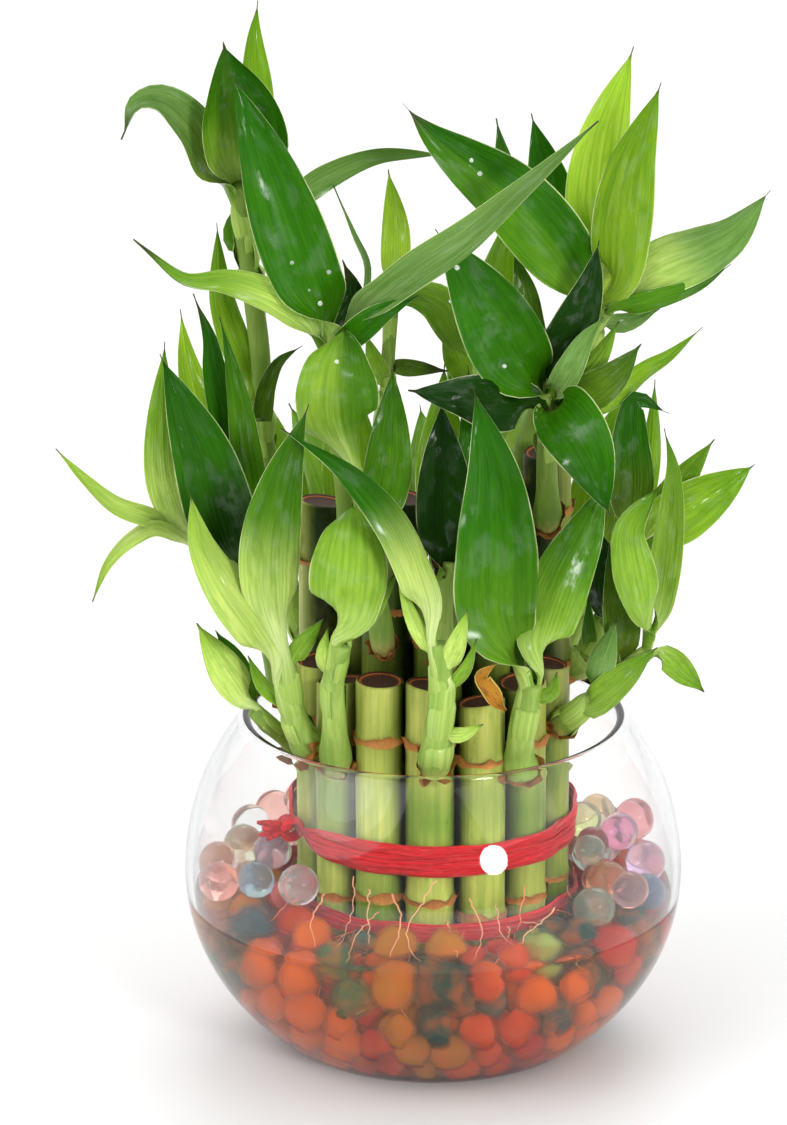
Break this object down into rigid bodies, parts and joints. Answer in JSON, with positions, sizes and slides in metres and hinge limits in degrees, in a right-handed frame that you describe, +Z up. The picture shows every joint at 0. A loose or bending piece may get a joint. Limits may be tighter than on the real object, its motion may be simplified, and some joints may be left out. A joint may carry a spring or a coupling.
{
  "type": "lucky bamboo in a glass bowl",
  "caption": "Tied bundle of green bamboo canes with leafy shoots, standing in coloured water beads in a round clear glass bowl.",
  "frame": {"origin": "centre of the bowl's flat foot, on the surface it stands on", "axes": "+Z up along the canes, -Y towards the front that the picture shows, +X to its right"},
  "size_m": [0.1515, 0.1203, 0.2301],
  "materials": {
    "bowl_glass": "clear, polished",
    "water_beads": "wet, translucent gel balls in mixed colours",
    "cane": "smooth living bark, satin",
    "leaf": "waxy, satin",
    "dry_leaf": "dry, matte",
    "ribbon": "glossy satin"
  },
  "bodies": {
    "root": {"bead_bed": "water_beads", "cane_inner_1": "cane", "cane_inner_2": "cane", "cane_inner_3": "cane", "cane_inner_4": "cane", "cane_inner_5": "cane", "cane_inner_6": "cane", "cane_inner_7": "cane", "cane_outer_1": "cane", "cane_outer_10": "cane", "cane_outer_11": "cane", "cane_outer_12": "cane", "cane_outer_13": "cane", "cane_outer_14": "cane", "cane_outer_2": "cane", "cane_outer_3": "cane", "cane_outer_4": "cane", "cane_outer_5": "cane", "cane_outer_6": "cane", "cane_outer_7": "cane", "cane_outer_8": "cane", "cane_outer_9": "cane", "dry_leaf": "dry_leaf", "glass_bowl": "bowl_glass", "ribbon_lower": "ribbon", "ribbon_upper": "ribbon", "shoot_back_high": "leaf", "shoot_back_left": "leaf", "shoot_back_mid_left": "leaf", "shoot_back_mid_right": "leaf", "shoot_back_middle": "leaf", "shoot_back_right": "leaf", "shoot_centre_right": "leaf", "shoot_centre_thin": "leaf", "shoot_front_left": "leaf", "shoot_front_middle": "leaf", "shoot_front_right": "leaf", "shoot_front_spoon": "leaf", "shoot_left_low": "leaf", "shoot_left_reaching": "leaf", "shoot_left_side": "leaf", "shoot_left_tall": "leaf", "shoot_mid_spoon": "leaf", "shoot_middle": "leaf", "shoot_right_crown": "leaf", "shoot_right_low": "leaf", "shoot_right_side": "leaf", "shoot_right_tall": "leaf"}
  },
  "joints": []
}
